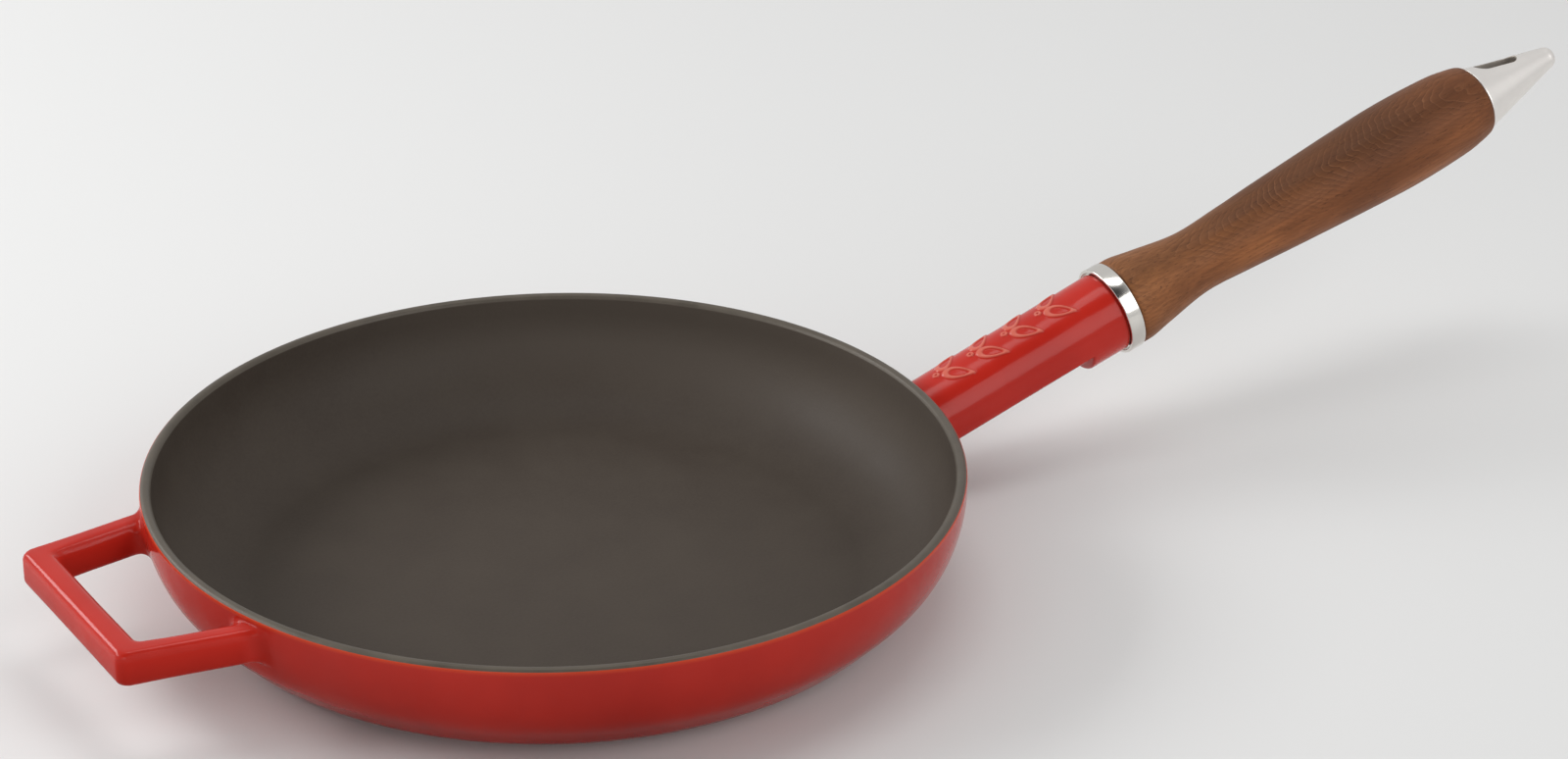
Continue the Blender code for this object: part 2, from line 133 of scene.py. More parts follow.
# The handle's centre line is the axis that the end cap screws along
turn = next(j for j in frame["joints"] if j["name"] == "cap_turn")
HANDLE_START = Vector(turn["pos_m"])
HANDLE_AXIS = Vector(turn["axis"]).normalized()
HANDLE_TILT = math.atan2(HANDLE_AXIS.z, HANDLE_AXIS.x)
HANDLE = Matrix.Translation(HANDLE_START) @ Matrix.Rotation(-HANDLE_TILT, 4, "Y")


# ---- node helpers


class Nodes:
    """A short way to build one material's node tree."""

    def __init__(self, name):
        self.material = bpy.data.materials.new(name)
        self.material.use_nodes = True
        self.tree = self.material.node_tree
        self.shader = self.tree.nodes["Principled BSDF"]

    def add(self, kind, settings=None, **sockets):
        """A node with its settings, and its sockets set to a value or linked to an output."""
        node = self.tree.nodes.new(kind)
        for key, value in (settings or {}).items():
            setattr(node, key, value)
        for key, value in sockets.items():
            self.put(node, key.replace("_", " "), value)
        return node

    def put(self, node, socket, value):
        """Sets one socket, by name or number."""
        target = node.inputs[int(socket) if socket.isdigit() else socket]
        if isinstance(value, bpy.types.NodeSocket):
            self.tree.links.new(value, target)
        else:
            target.default_value = value

    def place(self, on_handle=False, scale=(1, 1, 1)):
        """Object coordinates, in the frame's or the handle's directions, stretched by scale."""
        source = self.add("ShaderNodeTexCoord").outputs["Object"]
        if on_handle:
            turned = self.add("ShaderNodeMapping", {"vector_type": "TEXTURE"}, Vector=source)
            turned.inputs["Location"].default_value = HANDLE_START
            turned.inputs["Rotation"].default_value = (0, -HANDLE_TILT, 0)
            source = turned.outputs["Vector"]
        return self.add("ShaderNodeMapping", Vector=source, Scale=scale).outputs["Vector"]

    def parts(self, where):
        """The X, Y and Z values of a place."""
        made = self.add("ShaderNodeSeparateXYZ", Vector=where)
        return made.outputs["X"], made.outputs["Y"], made.outputs["Z"]

    def length(self, **sides):
        """The length of the vector that has the given X, Y or Z values."""
        made = self.add("ShaderNodeVectorMath", {"operation": "LENGTH"})
        self.put(made, "0", self.add("ShaderNodeCombineXYZ", **sides).outputs["Vector"])
        return made.outputs["Value"]

    def noise(self, where, scale, detail=2.0, rough=0.5, twist=0.0):
        """A noise value from 0 to 1."""
        made = self.add(
            "ShaderNodeTexNoise", Vector=where, Scale=scale, Detail=detail, Roughness=rough, Distortion=twist
        )
        return made.outputs["Fac"]

    def grain(self, scale, detail, rough=0.5, twist=0.0):
        """A noise value in the handle's directions, with its own scale (along, side, up)."""
        return self.noise(self.place(on_handle=True, scale=scale), 1.0, detail, rough, twist)

    def ramp(self, value, stops):
        """A colour ramp with (place, colour) stops."""
        made = self.add("ShaderNodeValToRGB", Fac=value)
        band = made.color_ramp
        while len(band.elements) < len(stops):
            band.elements.new(0.5)
        for element, (spot, colour) in zip(band.elements, stops):
            element.position = spot
            element.color = (*colour, 1.0)
        return made.outputs["Color"]

    def range(self, value, low, high, to_low, to_high):
        """A value carried from one range to another, with its ends held."""
        made = self.add("ShaderNodeMapRange", {"clamp": True}, Value=value)
        for key, number in (("From Min", low), ("From Max", high), ("To Min", to_low), ("To Max", to_high)):
            made.inputs[key].default_value = number
        return made.outputs["Result"]

    def mix(self, share, one, two):
        """Two colours mixed, with the second one's share."""
        made = self.add("ShaderNodeMix", {"data_type": "RGBA"})
        self.put(made, "0", share)
        for index, value in ((6, one), (7, two)):
            if isinstance(value, bpy.types.NodeSocket):
                self.tree.links.new(value, made.inputs[index])
            else:
                made.inputs[index].default_value = (*value, 1.0)
        return made.outputs[2]

    def math(self, operation, one, two):
        """One sum on two values."""
        made = self.add("ShaderNodeMath", {"operation": operation})
        self.put(made, "0", one)
        self.put(made, "1", two)
        return made.outputs["Value"]

    def times(self, one, two):
        """Two values multiplied."""
        return self.math("MULTIPLY", one, two)

    def bump(self, heights):
        """Bumps from (value, depth in metres) pairs, one over another."""
        normal = None
        for value, depth in heights:
            made = self.add("ShaderNodeBump", Height=value, Distance=depth, Strength=1.0)
            if normal is not None:
                self.tree.links.new(normal, made.inputs["Normal"])
            normal = made.outputs["Normal"]
        self.tree.links.new(normal, self.shader.inputs["Normal"])

    def set(self, **sockets):
        """Sockets of the Principled shader itself."""
        for key, value in sockets.items():
            self.put(self.shader, key.replace("_", " "), value)
        return self.material


# ---- materials


def raised_ridge(n):
    """1 on the ridges of the stub's ornament and 0 elsewhere, by the distance from the stub's own centre."""
    along, side, up = n.parts(n.place(on_handle=True))
    lifted = n.math("ADD", up, n.range(along, 0.0, STUB_END, STUB_DROP, 0.0))
    radius = n.range(along, 0.0, STUB_END, STUB_ROOT_RADIUS, STUB_END_RADIUS)
    height = n.math("SUBTRACT", n.length(Y=side, Z=lifted), radius)
    ridge = n.range(height, 0.15 * RELIEF_HEIGHT, 0.9 * RELIEF_HEIGHT, 0.0, 1.0)
    fade = 0.0005
    begun = n.range(along, RELIEF_START, RELIEF_START + fade, 0.0, 1.0)
    ended = n.range(along, RELIEF_END - fade, RELIEF_END, 1.0, 0.0)
    return n.times(ridge, n.times(begun, ended))


def enamel_colour(n, where, radius, near_pan, on_loop):
    """Red with painted shade low on the wall and loop sides; ridges paler from thin enamel and painted
    highlight.
    """
    z = n.parts(where)[2]
    cloud, shade_mottle = n.noise(where, 28.0, 3.0), n.noise(where, 16.0, 4.0, 0.6)
    body = n.ramp(cloud, [(0.30, (0.430, 0.0180, 0.0105)), (0.70, (0.510, 0.0245, 0.0150))])
    # painted shade: a darker red mixed in towards the foot of the wall and low on the loop's sides
    thick = n.ramp(shade_mottle, [(0.32, (0.225, 0.0110, 0.0065)), (0.68, (0.330, 0.0170, 0.0100))])
    painted_wall_shade = n.times(n.range(z, SHADE_TOP, SHADE_FOOT, 0.45, 0.92), near_pan)
    painted_loop_shade = n.times(n.range(z, LOOP_SIDE_TOP, LOOP_BOTTOM, 0.0, 0.85), on_loop)
    colour = n.mix(n.math("MAXIMUM", painted_wall_shade, painted_loop_shade), body, thick)
    # thin enamel and a painted highlight make it orange where it runs out at the rim, but not on the handles
    # beyond it
    edge = n.range(z, RIM_HEIGHT - 0.0006, RIM_HEIGHT + 0.0008, 0.0, 0.55)
    on_pan = n.range(radius, RIM_RADIUS + 0.0005, RIM_RADIUS + 0.0010, 1.0, 0.0)
    colour = n.mix(n.times(edge, on_pan), colour, (0.62, 0.075, 0.022))
    # the ornament's ridges paler and pinker, partly thin enamel on the edges and partly painted highlight
    return n.mix(n.times(raised_ridge(n), 0.55), colour, (0.72, 0.220, 0.155))


def enamel_gloss(n, where, near_pan, on_loop):
    """The specular level, which is lost by degrees where the enamel would mirror the white floor."""
    full, wall_loss, loop_loss, gap_loss = 0.22, 0.19, 0.17, 0.12
    x, _, z = n.parts(where)
    in_gap = n.range(x, -0.120, -0.138, 0.0, gap_loss)
    off_wall = n.math("ADD", in_gap, n.range(z, RIM_HEIGHT, 0.0080, 0.04, wall_loss))
    off_wall = n.times(n.math("MINIMUM", off_wall, wall_loss), near_pan)
    off_loop = n.times(n.range(z, LOOP_SIDE_TOP, LOOP_SIDE_TOP - 0.0020, 0.0, loop_loss), on_loop)
    left = n.math("SUBTRACT", full, n.math("MAXIMUM", off_wall, off_loop))
    underside = n.range(z, 0.0020, 0.0008, 0.0, full)
    return n.math("MAXIMUM", left, underside)


def enamel_material():
    """Glossy red vitreous enamel, with a little sag and orange peel."""
    n = Nodes("red_enamel")
    where = n.place()
    x, y, _ = n.parts(where)
    radius = n.length(X=x, Y=y)
    near_pan = n.range(radius, RIM_RADIUS, RIM_RADIUS + ROOT_BLEND, 1.0, 0.0)
    on_loop = n.times(n.math("SUBTRACT", 1.0, near_pan), n.range(x, -0.060, -0.020, 1.0, 0.0))
    colour = enamel_colour(n, where, radius, near_pan, on_loop)
    gloss = enamel_gloss(n, where, near_pan, on_loop)
    sag = n.noise(where, 60.0, 2.0)
    peel = n.noise(where, 420.0, 2.0)
    n.bump([(sag, 0.00025), (peel, 0.000010)])
    shine = n.range(n.noise(where, 90.0, 4.0), 0.3, 0.75, 0.11, 0.20)
    return n.set(Base_Color=colour, Roughness=shine, Specular_IOR_Level=gloss)


def inside_material():
    """Matt black enamel of the cooking surface, pebbled and mottled, with painted light paler on the far
    wall.
    """
    n = Nodes("black_enamel")
    where = n.place()
    x, y, z = n.parts(where)
    mottle = n.noise(where, 35.0, 4.0, 0.6)
    grain = n.noise(where, 900.0, 3.0, 0.6)
    body = n.ramp(mottle, [(0.30, (0.0530, 0.0410, 0.0325)), (0.72, (0.0640, 0.0510, 0.0405))])
    colour = n.mix(n.range(grain, 0.30, 0.70, 0.0, 0.25), body, (0.085, 0.069, 0.054))
    # painted light: paler on the far wall, towards the back and right, above the floor
    toward = n.math("ADD", n.times(x, 0.8), n.times(y, 0.6))
    painted_far_light = n.times(n.range(toward, 0.060, 0.120, 0.0, 0.85), n.range(z, 0.0080, 0.0260, 0.0, 1.0))
    colour = n.mix(painted_far_light, colour, (0.096, 0.078, 0.063))
    n.bump([(n.noise(where, 130.0, 3.0), 0.00010), (grain, 0.00004)])
    shine = n.range(mottle, 0.3, 0.7, 0.50, 0.60)
    return n.set(Base_Color=colour, Roughness=shine, Specular_IOR_Level=0.15)


def rim_material():
    """The rim's bare, ground iron under a thin film of oil."""
    n = Nodes("bare_rim_iron")
    where = n.place()
    patch = n.noise(where, 70.0, 4.0, 0.6)
    body = n.ramp(patch, [(0.30, (0.084, 0.071, 0.056)), (0.72, (0.114, 0.096, 0.076))])
    grind = n.noise(n.place(scale=(1, 1, 6)), 700.0, 3.0, 0.6)
    n.bump([(grind, 0.00004)])
    shine = n.range(patch, 0.3, 0.7, 0.34, 0.48)
    return n.set(Base_Color=body, Roughness=shine, Metallic=0.12, Specular_IOR_Level=0.22)


def growth_rings(n, where):
    """0 to 1 across each growth ring. Their axis slants through the grip, so they come out as nested tips."""
    slant = n.add("ShaderNodeMapping", {"vector_type": "TEXTURE"}, Vector=where)
    slant.inputs["Location"].default_value = (0.180, 0.036, -0.058)
    slant.inputs["Rotation"].default_value = (0, math.radians(13), math.radians(6))
    warp = n.grain((30, 110, 110), 2.0)
    reach = 0.0012
    sideways, upwards = n.range(warp, 0, 1, -reach, reach), n.range(warp, 0, 1, reach, -reach)
    push = n.add("ShaderNodeCombineXYZ", Y=sideways, Z=upwards)
    bent = n.add("ShaderNodeVectorMath", {"operation": "ADD"})
    n.put(bent, "0", slant.outputs["Vector"])
    n.put(bent, "1", push.outputs["Vector"])
    rings = n.add(
        "ShaderNodeTexWave",
        {"wave_type": "RINGS", "rings_direction": "X", "wave_profile": "SAW"},
        Vector=bent.outputs["Vector"], Scale=340.0, Distortion=2.2, Detail=3.0,
    )
    return n.add("ShaderNodeSeparateColor", Color=rings.outputs["Color"]).outputs["Red"]


def wood_material():
    """Stained, oiled beech: small nested growth-ring tips down its upper side, short dark pores all over."""
    n = Nodes("oiled_wood")
    where = n.place(on_handle=True)
    along, side, up = n.parts(where)
    upward = n.math("ADD", up, n.times(side, 0.3))
    ring = growth_rings(n, where)
    streak = n.grain((45, 900, 900), 4.0, 0.6)
    pore = n.grain((330, 2400, 2400), 1.0)
    patch = n.grain((18, 50, 50), 3.0)
    body = n.ramp(
        patch, [(0.30, (0.125, 0.043, 0.017)), (0.50, (0.215, 0.076, 0.029)), (0.72, (0.330, 0.122, 0.046))]
    )
    # painted shade and reflection: greyer and darker towards the top
    top = n.times(n.range(upward, 0.000, 0.011, 0.0, 0.80), n.range(along, 0.215, 0.250, 1.0, 0.35))
    colour = n.mix(top, body, (0.095, 0.040, 0.018))
    # painted light: lighter and more orange near the collar
    near = n.times(n.range(along, 0.165, 0.100, 0.0, 0.55), n.range(patch, 0.35, 0.6, 0.2, 1.0))
    colour = n.mix(near, colour, (0.420, 0.170, 0.062))
    # each ring has a pale start and a dark end, and the rings show best here and there on the upper side
    shown = n.range(n.grain((50, 90, 90), 2.0), 0.35, 0.65, 0.15, 1.0)
    shown = n.times(shown, n.range(upward, -0.006, 0.008, 0.30, 1.0))
    colour = n.mix(n.times(n.range(ring, 0.35, 1.0, 0.0, 0.50), shown), colour, (0.075, 0.028, 0.013))
    colour = n.mix(n.times(n.range(ring, 0.0, 0.18, 0.40, 0.0), shown), colour, (0.380, 0.170, 0.080))
    colour = n.mix(n.range(streak, 0.38, 0.72, 0.0, 0.50), colour, (0.090, 0.034, 0.016))
    colour = n.mix(n.range(pore, 0.64, 0.72, 0.0, 0.55), colour, (0.040, 0.016, 0.008))
    n.bump([(streak, 0.00008), (pore, -0.00005), (ring, 0.00002)])
    shine = n.range(streak, 0.3, 0.7, 0.40, 0.54)
    return n.set(Base_Color=colour, Roughness=shine, Specular_IOR_Level=0.14)


def metal_material(name, colour, dull, brushing, wear, depth):
    """A turned metal: fine lines round the handle's axis, cloudy wear and a few scratches."""
    n = Nodes(name)
    lines = n.grain((brushing, 12, 12), 3.0, 0.65)
    cloud = n.grain((120, 120, 120), 4.0, 0.6)
    scratch = n.grain((500, 2600, 90), 2.0, 0.5, 1.5)
    worn = tuple(c * wear for c in colour)
    body = n.mix(n.range(cloud, 0.35, 0.75, 0.0, 1.0), colour, worn)
    n.bump([(lines, depth), (n.range(scratch, 0.66, 0.72, 0.0, 1.0), -depth)])
    shine = n.math("ADD", n.range(lines, 0.3, 0.7, -0.04, 0.05), n.range(cloud, 0.3, 0.7, dull, dull * 1.25))
    return n.set(Base_Color=body, Roughness=shine, Metallic=1.0)


RED = enamel_material()
BLACK = inside_material()
RIM = rim_material()
WOOD = wood_material()
POLISHED = metal_material("polished_steel", (0.77, 0.745, 0.70), 0.13, 2500, 0.92, 0.000002)
SATIN = metal_material("satin_steel", (0.90, 0.865, 0.83), 0.34, 4200, 0.94, 0.000006)
# darker on the slot's walls: partly their unpolished cut finish, partly painted shade inside the slot
SLOT_WALL = metal_material("unpolished_steel_and_shade", (0.42, 0.38, 0.34), 0.50, 900, 0.80, 0.000010)
ZINC = metal_material("zinc_plated_steel", (0.60, 0.60, 0.57), 0.36, 1800, 0.80, 0.000008)


# ---- mesh helpers


def shade(mesh, sharp=32):
    """Smooth shading, except at edges sharper than an angle in degrees."""
    mesh.shade_smooth()
    mesh.set_sharp_from_angle(angle=math.radians(sharp))


def add_piece(name, points, faces, materials, zones=None, sharp=32):
    """An object from points and faces, its normals pointing out, smooth except at sharp edges."""
    mesh = bpy.data.meshes.new(name)
    mesh.from_pydata([tuple(p) for p in points], [], faces)
    for finish in materials:
        mesh.materials.append(finish)
    if zones is not None:
        mesh.polygons.foreach_set("material_index", zones)
    bm = bmesh.new()
    bm.from_mesh(mesh)
    bmesh.ops.recalc_face_normals(bm, faces=bm.faces)
    if bm.calc_volume(signed=True) < 0:
        bmesh.ops.reverse_faces(bm, faces=bm.faces)
    bm.to_mesh(mesh)
    bm.free()
    shade(mesh, sharp)
    made = bpy.data.objects.new(name, mesh)
    bpy.context.scene.collection.objects.link(made)
    return made


def grid_faces(rows, columns, wrap_rows=False):
    """Quads over rows of points, each row a closed ring of columns."""
    made = []
    for i in range(rows if wrap_rows else rows - 1):
        for j in range(columns):
            a, b = i * columns, ((i + 1) % rows) * columns
            k = (j + 1) % columns
            made.append((a + j, a + k, b + k, b + j))
    return made


def tube_faces(rows, columns):
    """Quads over rows of points, with one flat face closing each end."""
    ends = [tuple(range(columns)), tuple(range((rows - 1) * columns, rows * columns))]
    return grid_faces(rows, columns) + ends


def lathe(name, outline, materials, segments, matrix, zones=None, shape=None):
    """A body turned about X, then carried by matrix.

    The outline is (along, radius), and is closed unless it starts or ends on the axis. zones gives each
    stretch of it a material, and shape may move a point (along, side, up)."""
    angles = [math.tau * j / segments for j in range(segments)]
    on_axis = [radius < 1e-9 for _, radius in outline]
    points, starts = [], []
    for (along, radius), single in zip(outline, on_axis):
        starts.append(len(points))
        ring = [(along, 0, 0)] if single else [
            (along, radius * math.sin(a), radius * math.cos(a)) for a in angles
        ]
        points += [shape(*p) for p in ring] if shape else ring
    faces, marks = [], []
    open_ended = on_axis[0] or on_axis[-1]
    for i in range(len(outline) - (1 if open_ended else 0)):
        k = (i + 1) % len(outline)
        a, b = starts[i], starts[k]
        for j in range(segments):
            m = (j + 1) % segments
            if on_axis[i]:
                faces.append((a, b + m, b + j))
            elif on_axis[k]:
                faces.append((a + j, a + m, b))
            else:
                faces.append((a + j, a + m, b + m, b + j))
            marks.append(zones[i] if zones else 0)
    return add_piece(name, [matrix @ Vector(p) for p in points], faces, materials, marks)


def on_handle(along, radius, angle):
    """A point round the handle, in the frame."""
    return HANDLE @ Vector((along, radius * math.sin(angle), radius * math.cos(angle)))


def held(value):
    """The value, kept between 0 and 1."""
    return min(max(value, 0), 1)


def ease(share):
    """A share from 0 to 1 that starts and ends gently."""
    return share * share * (3 - 2 * share)


def even(low, high, steps):
    """The values that lead from low to high in even steps, both ends included."""
    return [low + (high - low) * i / steps for i in range(steps + 1)]


def arc(centre, radius, start, end, steps):
    """Points on a circle, between two angles in degrees."""
    angles = [math.radians(a) for a in even(start, end, steps)]
    return [(centre[0] + radius * math.cos(a), centre[1] + radius * math.sin(a)) for a in angles]


def combine(target, tool, operation):
    """A Boolean, applied at once. The tool is removed."""
    step = target.modifiers.new(tool.name, "BOOLEAN")
    step.operation = operation
    step.solver = "EXACT"
    step.object = tool
    view = bpy.context.evaluated_depsgraph_get()
    mesh = bpy.data.meshes.new_from_object(target.evaluated_get(view))
    target.modifiers.clear()
    target.data = mesh
    bpy.data.objects.remove(tool, do_unlink=True)


# ---- the bowl

UPRIGHT = Matrix.Rotation(-math.pi / 2, 4, "Y")  # carries X, the lathe's axis, onto Z


def flank_reach(angle):
    """The outer curve's distance from its centre: angle is 0 at the base and a right angle at the wall."""
    return OUTER_CURVE - FLANK_PRESS * math.sin(2 * angle) ** FLANK_POWER


def bowl_outline():
    """The bowl's section as (height, radius) with the material of each stretch."""
    enamel, rim, inside = 0, 1, 2
    spots, zones = [], []

    def run(points, zone):
        spots.extend(points)
        zones.extend([zone] * len(points))

    run([(RECESS, 0.0), (RECESS, FOOT_INNER * 0.5)], enamel)
    run([(RECESS * (1 - ease(s)), FOOT_INNER + FOOT_STEP * s) for s in even(0, 1, 8)], enamel)
    for angle in even(0, math.pi / 2, CURVE_STEPS):
        reach = flank_reach(angle)
        height = OUTER_CURVE - reach * math.cos(angle)
        run([(height, RIM_RADIUS - OUTER_CURVE + reach * math.sin(angle))], enamel)
    # over the rim: the red coat ends in a small rounded step, and the black coat starts with one
    outer = (RIM_HEIGHT, RIM_RADIUS - RIM_ROUND)
    inner = (RIM_HEIGHT, INNER_RADIUS + RIM_ROUND)
    coat_end = 90 - COAT_EDGE
    bare = RIM_ROUND - COAT_STEP
    run(arc(outer, RIM_ROUND, 90, coat_end, 5), enamel)
    run(arc(outer, RIM_ROUND - COAT_STEP / 3, coat_end - 2, coat_end - 3, 1), enamel)
    run(arc(outer, bare, coat_end - 5, 0, 8), rim)
    run(arc(inner, bare, 0, 4 - INSIDE_COAT_EDGE, 8), rim)
    run(arc(inner, RIM_ROUND - COAT_STEP / 2, -INSIDE_COAT_EDGE, -90, 2), inside)
    well = (FLOOR + INNER_CURVE, INNER_RADIUS - INNER_CURVE)
    run(arc(well, INNER_CURVE, 90, 180, 32), inside)
    run([(FLOOR, well[1] * 0.6), (FLOOR, 0.0)], inside)
    return spots, zones


def add_bowl():
    """The pan without its handles."""
    outline, zones = bowl_outline()
    return lathe("skillet_casting", outline, [RED, RIM, BLACK], PAN_SEGMENTS, UPRIGHT, zones)


def add_wall_core():
    """A solid inside the bowl, out to the middle of its wall, which trims the roots of both handles."""
    middle = RIM_RADIUS - WALL / 2
    curve = OUTER_CURVE - WALL / 2
    outline = [(WALL / 2, 0)] + arc((OUTER_CURVE, middle - curve), curve, 180, 90, 20)
    outline += [(2 * PAN_HEIGHT, middle), (2 * PAN_HEIGHT, 0)]
    return lathe("wall_core", outline, [RED], PAN_SEGMENTS, UPRIGHT)


def off_wall(point):
    """How far a point stands outside the bowl's outer surface, and the surface's normal there."""
    radius = math.hypot(point.x, point.y)
    out = Vector((point.x / radius, point.y / radius, 0))
    if point.z >= OUTER_CURVE:
        return radius - RIM_RADIUS, out
    away = Vector((radius - (RIM_RADIUS - OUTER_CURVE), point.z - OUTER_CURVE))
    angle = math.atan2(away.x, -away.y)
    normal = (out * away.x + Vector((0, 0, away.y))).normalized()
    return away.length - flank_reach(angle), normal


def hit_wall(start, direction):
    """Where a straight line from outside meets the bowl's outer surface, found by halving."""
    near, far = 0.0, 0.08
    for _ in range(40):
        middle = (near + far) / 2
        if off_wall(start + direction * middle)[0] > 0:
            near = middle
        else:
            far = middle
    return start + direction * near


def on_wall(point, depth):
    """The point moved to lie a little under the bowl's outer surface."""
    for _ in range(3):
        distance, normal = off_wall(point)
        point = point - normal * (distance + depth)
    return point


def root_rings(ring, normals, direction, fillets, root_x):
    """Rings that carry a limb's last section onto the wall with a fillet, then on into the bowl.

    ring holds the section's points, direction leads to the pan, and fillets gives how far each point's fillet
    reaches along the limb and along the wall."""
    hits = [hit_wall(p, direction) for p in ring]
    rings = []
    for t in even(0, 1, FILLET_STEPS):
        row = []
        for hit, normal, (back, spread) in zip(hits, normals, fillets):
            wall_normal = off_wall(hit)[1]
            sideways = (normal - wall_normal * normal.dot(wall_normal)).normalized()
            start = hit - direction * back
            end = on_wall(hit + sideways * spread, ROOT_DEPTH)
            row.append(start * (1 - t) ** 2 + hit * 2 * t * (1 - t) + end * t * t)
        rings.append(row)
    buried = [on_wall(p, 6 * ROOT_DEPTH) for p in rings[-1]]
    rings.append(buried)
    rings.append([Vector((root_x, p.y, p.z)) for p in buried])
    return rings


# ---- the helper loop


def corner(before, at, after, radius, steps):
    """A flat outline's corner as an arc."""
    before, at, after = Vector(before), Vector(at), Vector(after)
    one, two = (before - at).normalized(), (after - at).normalized()
    half = one.angle(two) / 2
    centre = at + (one + two).normalized() * (radius / math.sin(half))
    first = at + one * (radius / math.tan(half)) - centre
    second = at + two * (radius / math.tan(half)) - centre
    swing = first.angle_signed(second)
    made = []
    for angle in even(0, swing, steps):
        c, s = math.cos(angle), math.sin(angle)
        made.append(centre + Vector((first.x * c + first.y * s, first.y * c - first.x * s)))
    return made


def loop_sides():
    """Points along the outer and inner sides of the +Y half: along the bar, round the corner, up the arm."""
    along = Vector((math.cos(LOOP_FLARE), math.sin(LOOP_FLARE)))
    across = Vector((math.sin(LOOP_FLARE), -math.cos(LOOP_FLARE)))
    outer_start = Vector((LOOP_OUTER_X, LOOP_ARM_Y))
    inner_line = outer_start + across * LOOP_ARM_WIDTH
    inner_start = inner_line + along * ((LOOP_INNER_X - inner_line.x) / along.x)
    sides = []
    for x, start in ((LOOP_OUTER_X, outer_start), (LOOP_INNER_X, inner_start)):
        reach = outer_start.dot(along) + LOOP_ARM_REACH - start.dot(along)
        bend = corner((x, 0), start, start + along, LOOP_CORNER, 12)
        bar = [Vector((x, y)) for y in even(0, bend[0].y, 10)[:-1]]
        limb = [bend[-1].lerp(start + along * reach, t) for t in even(0, 1, 6)[1:]]
        sides.append(bar + bend + limb)
    return sides, along


def loop_section(outer, inner):
    """One section of the loop between its outer and inner side: points, normals and the direction out."""
    width = (outer - inner).length
    out = ((outer - inner) / width).to_3d()
    low, high, edge, soft = LOOP_BOTTOM, LOOP_TOP - LOOP_CROWN, LOOP_EDGE, LOOP_INNER_TOP_EDGE
    bends = [
        arc((width - edge, low + edge), edge, -90, 0, 7),
        arc((width - edge, high - edge), edge, 0, 90, 7),
        arc((soft, high - soft), soft, 90, 180, 7),
        arc((edge, low + edge), edge, 180, 270, 7),
    ]
    flat = []
    for bend, following in zip(bends, bends[1:] + bends[:1]):
        (u, z), (next_u, next_z) = bend[-1], following[0]
        flat += bend + [(u + (next_u - u) * s, z + (next_z - z) * s) for s in (0.25, 0.5, 0.75)]
    made = []
    for u, z in flat:
        if z > high - edge:
            middle = (u - width / 2) / (width / 2)
            z += LOOP_CROWN * max(0.0, 1 - middle * middle) ** 0.5
        made.append(inner.to_3d() + out * u + Vector((0, 0, z)))
    forward = Vector((-out.y, out.x, 0))
    tangents = [made[(i + 1) % len(made)] - made[i - 1] for i in range(len(made))]
    normals = [tangent.cross(forward).normalized() for tangent in tangents]
    centre = sum(made, Vector()) / len(made)
    if sum((p - centre).dot(n) for p, n in zip(made, normals)) < 0:
        normals = [-n for n in normals]
    return made, normals, out


def add_helper_loop():
    """The loop handle opposite the main one: a rounded bar on two arms that flow into the wall."""
    (outer, inner), along = loop_sides()
    half = [loop_section(o, i) for o, i in zip(outer, inner)]
    points, normals, out = half[-1]
    fillets = []
    for normal in normals:
        side = normal.dot(out)
        across = LOOP_FILLETS["away" if side > 0 else "gap"]
        upright = LOOP_FILLETS["top" if normal.z > 0 else "bottom"]
        fillets.append([a * side**2 + b * normal.z**2 for a, b in zip(across, upright)])
    rings = [section[0] for section in half]
    rings += root_rings(points, normals, along.to_3d(), fillets, LOOP_ROOT_X)
    mirrored = [[Vector((p.x, -p.y, p.z)) for p in ring] for ring in rings[:0:-1]]
    rings = mirrored + rings
    return add_piece("helper_loop", sum(rings, []), tube_faces(len(rings), len(points)), [RED])


# ---- the handle stub


def stub_radius(along):
    """The stub's outer radius at a distance along the handle."""
    return STUB_ROOT_RADIUS + (STUB_END_RADIUS - STUB_ROOT_RADIUS) * max(along, 0) / STUB_END


def stub_drop(along):
    """How far the stub's centre lies under the handle's centre line."""
    return STUB_DROP * (1 - along / STUB_END)


def off_leaf(along, around, centre, lean):
    """How far a point on the stub lies from a leaf's outline, in metres."""
    x, y = along - centre[0], around - centre[1]
    c, s = math.cos(lean), math.sin(lean)
    a, b = (x * c + y * s) / (LEAF_LENGTH / 2), (y * c - x * s) / (LEAF_WIDTH / 2)
    taper = 1 - 0.5 * min(max(a, -1), 1)
    return abs(math.hypot(a, b / taper) - 1) * LEAF_WIDTH / 2


def relief(along, around):
    """The raised ornament's height at a point on the stub, in metres."""
    if not RELIEF_START < along < RELIEF_END or abs(around) > RELIEF_HALF_WIDTH:
        return 0.0
    gaps = []
    for pair in range(LEAF_PAIRS):
        middle = LEAF_FIRST + LEAF_PITCH * pair
        leaf = (middle, math.copysign(LEAF_SIDE, around))
        gaps.append(abs(math.hypot(along - middle + BEAD_LEAD, around) - BEAD_RADIUS))
        gaps.append(off_leaf(along, around, leaf, math.copysign(LEAF_LEAN, around)))
    return RELIEF_HEIGHT * ease(1 - held((min(gaps) - LINE_TOP) / LINE_FLANK))


def outside_angles():
    """The angles round the stub's outside, from one edge of the channel over the top to the other."""
    fine = math.radians(55)  # the part with the ornament on it has the closer points
    sink = math.asin((CHANNEL_EDGE_DROP - CHANNEL_EDGE_ROUND) / STUB_ROOT_RADIUS)
    half = even(0, fine, 56)[1:] + even(fine, math.pi / 2 + sink, 14)[1:]
    return [-a for a in reversed(half)] + [0.0] + half


OUTSIDE_ANGLES = outside_angles()


